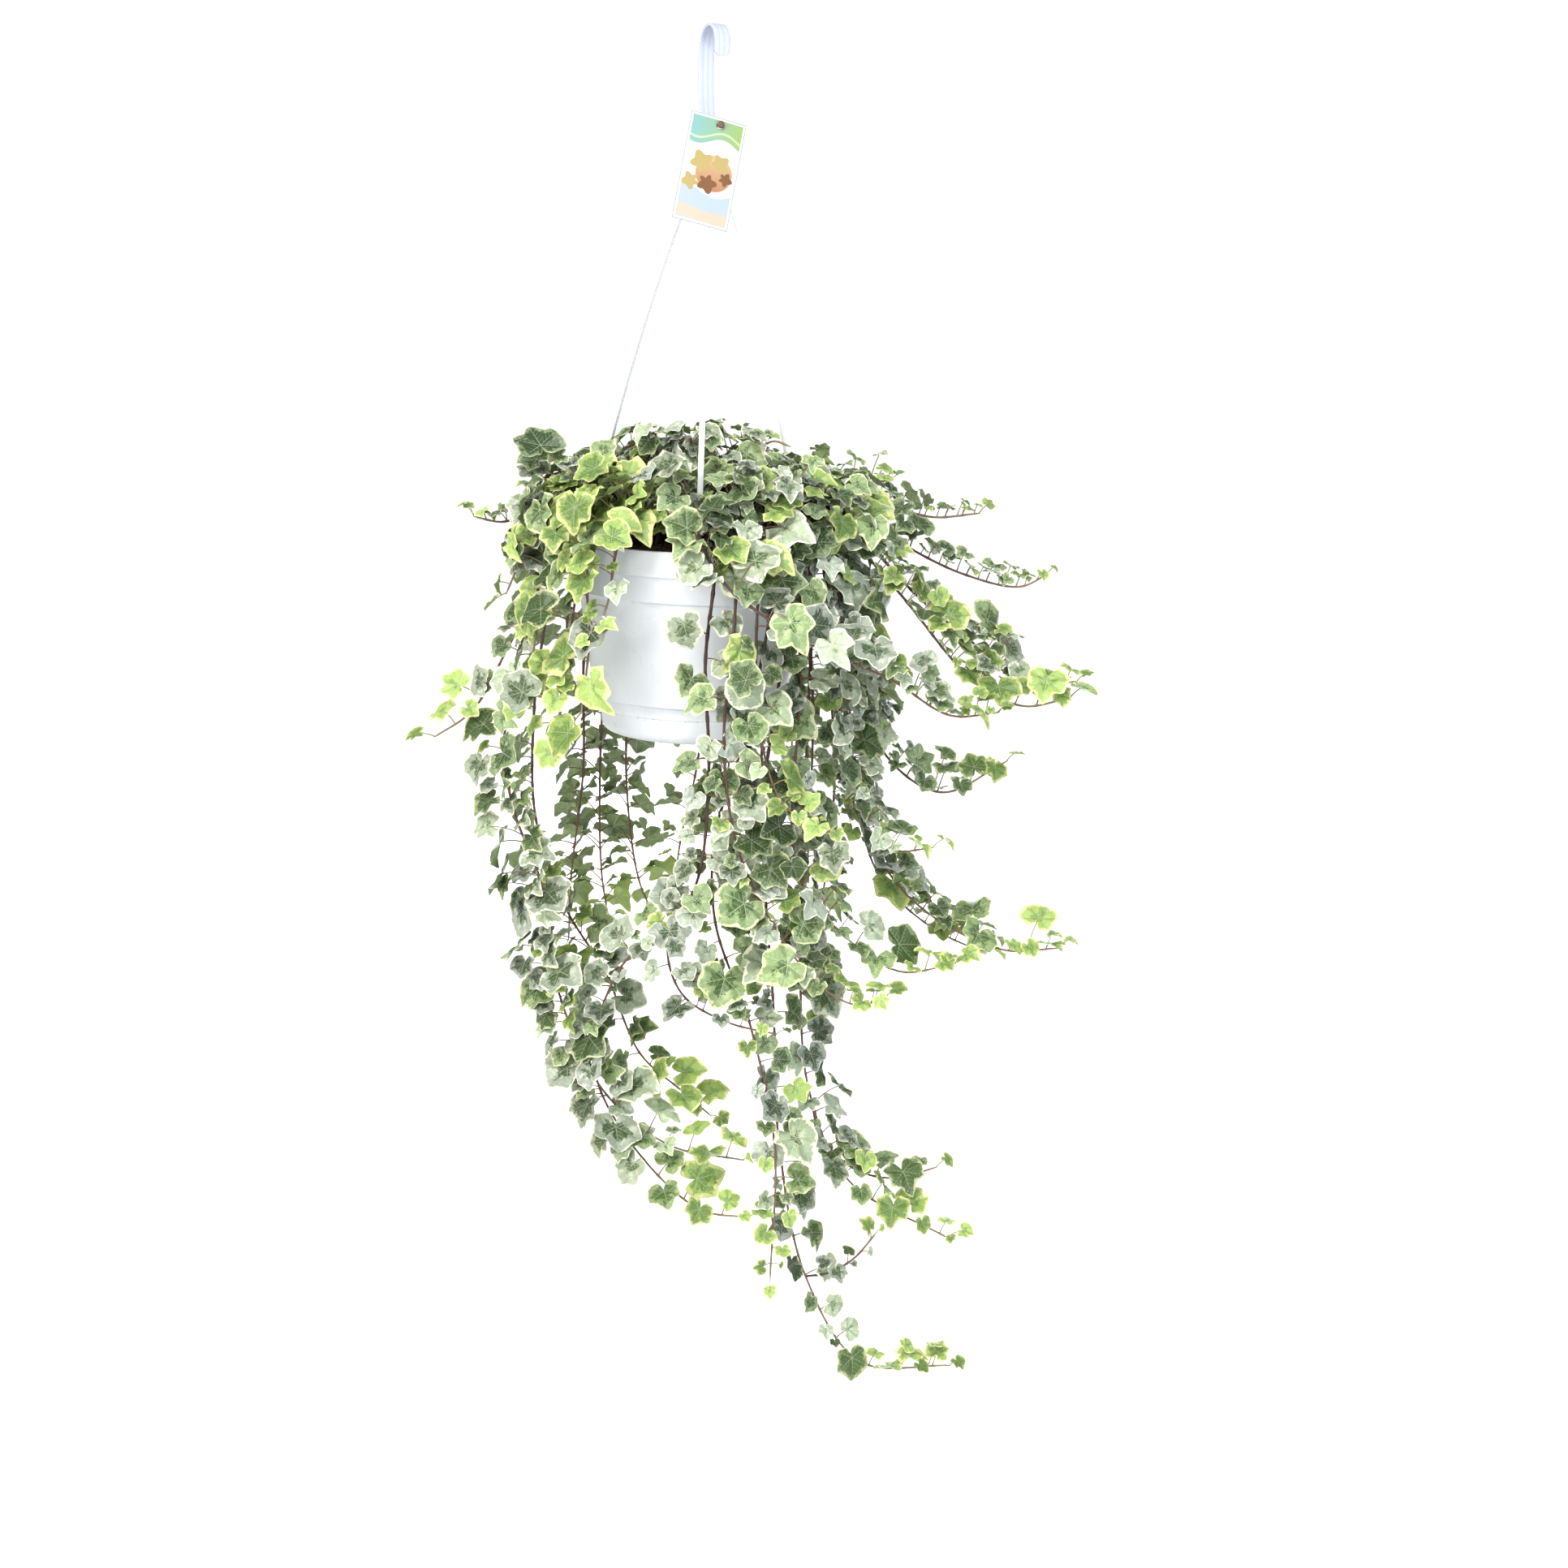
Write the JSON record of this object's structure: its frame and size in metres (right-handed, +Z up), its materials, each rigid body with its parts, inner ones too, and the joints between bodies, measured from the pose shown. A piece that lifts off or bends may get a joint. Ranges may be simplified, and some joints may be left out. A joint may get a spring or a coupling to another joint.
{
  "type": "hanging pot of variegated english ivy",
  "caption": "White plastic hanging pot with hook, hanger and clip-on saucer, filled with soil and trailing small-leaved variegated ivy that arches over the rim and hangs far below it.",
  "frame": {"origin": "inner top of the hook's crown, where the rail or nail that holds the pot bears, straight above the middle of the pot", "axes": "+Z up along the pot's axis, -Y towards the face of the label and the front hanger arm, +X to the right seen from that side"},
  "size_m": [0.7298, 0.3986, 1.4467],
  "materials": {
    "pot_plastic": "moulded white polypropylene, softly glossy",
    "hanger_plastic": "moulded white polypropylene, softly glossy",
    "label_card": "printed coated card",
    "peg_plastic": "dull brown plastic",
    "potting_soil": "dark moist peat",
    "ivy_grey_leaf": "grey-green ivy leaves with cream margins, half gloss, on purple-brown stems",
    "ivy_green_leaf": "dark green ivy leaves with cream margins, half gloss, on purple-brown stems",
    "ivy_young_leaf": "young lime green ivy leaves with yellow margins, half gloss"
  },
  "bodies": {
    "root": {"pot": "pot_plastic", "saucer": "pot_plastic", "hook": "hanger_plastic", "arm_front": "hanger_plastic", "arm_left": "hanger_plastic", "arm_right": "hanger_plastic", "tag": "label_card", "tag_peg": "peg_plastic", "soil": "potting_soil", "vine_left_1": "ivy_green_leaf", "vine_left_2": "ivy_grey_leaf", "vine_left_3": "ivy_grey_leaf", "vine_left_4": "ivy_green_leaf", "vine_left_5": "ivy_grey_leaf", "vine_left_6": "ivy_grey_leaf", "vine_left_7": "ivy_young_leaf", "vine_left_8": "ivy_young_leaf", "vine_left_9": "ivy_young_leaf", "vine_back_1": "ivy_green_leaf", "vine_back_2": "ivy_green_leaf", "vine_back_3": "ivy_green_leaf", "vine_back_4": "ivy_green_leaf", "vine_back_5": "ivy_grey_leaf", "vine_back_6": "ivy_green_leaf", "vine_back_7": "ivy_grey_leaf", "vine_back_8": "ivy_green_leaf", "vine_back_9": "ivy_grey_leaf", "vine_back_10": "ivy_green_leaf", "vine_front_1": "ivy_grey_leaf", "vine_front_2": "ivy_grey_leaf", "vine_front_3": "ivy_young_leaf", "vine_front_4": "ivy_green_leaf", "vine_front_5": "ivy_grey_leaf", "vine_front_6": "ivy_green_leaf", "vine_front_7": "ivy_grey_leaf", "vine_right_1": "ivy_green_leaf", "vine_right_2": "ivy_grey_leaf", "vine_right_3": "ivy_grey_leaf", "vine_right_4": "ivy_young_leaf", "vine_right_5": "ivy_green_leaf", "vine_right_6": "ivy_green_leaf", "vine_right_7": "ivy_green_leaf", "vine_right_8": "ivy_green_leaf", "vine_right_9": "ivy_green_leaf", "vine_right_10": "ivy_grey_leaf", "vine_right_11": "ivy_green_leaf", "vine_right_12": "ivy_green_leaf", "shoot_1": "ivy_grey_leaf", "shoot_2": "ivy_green_leaf", "shoot_3": "ivy_grey_leaf", "shoot_4": "ivy_young_leaf", "shoot_5": "ivy_grey_leaf", "shoot_6": "ivy_green_leaf", "shoot_7": "ivy_grey_leaf", "shoot_8": "ivy_young_leaf", "shoot_9": "ivy_grey_leaf"}
  },
  "joints": []
}
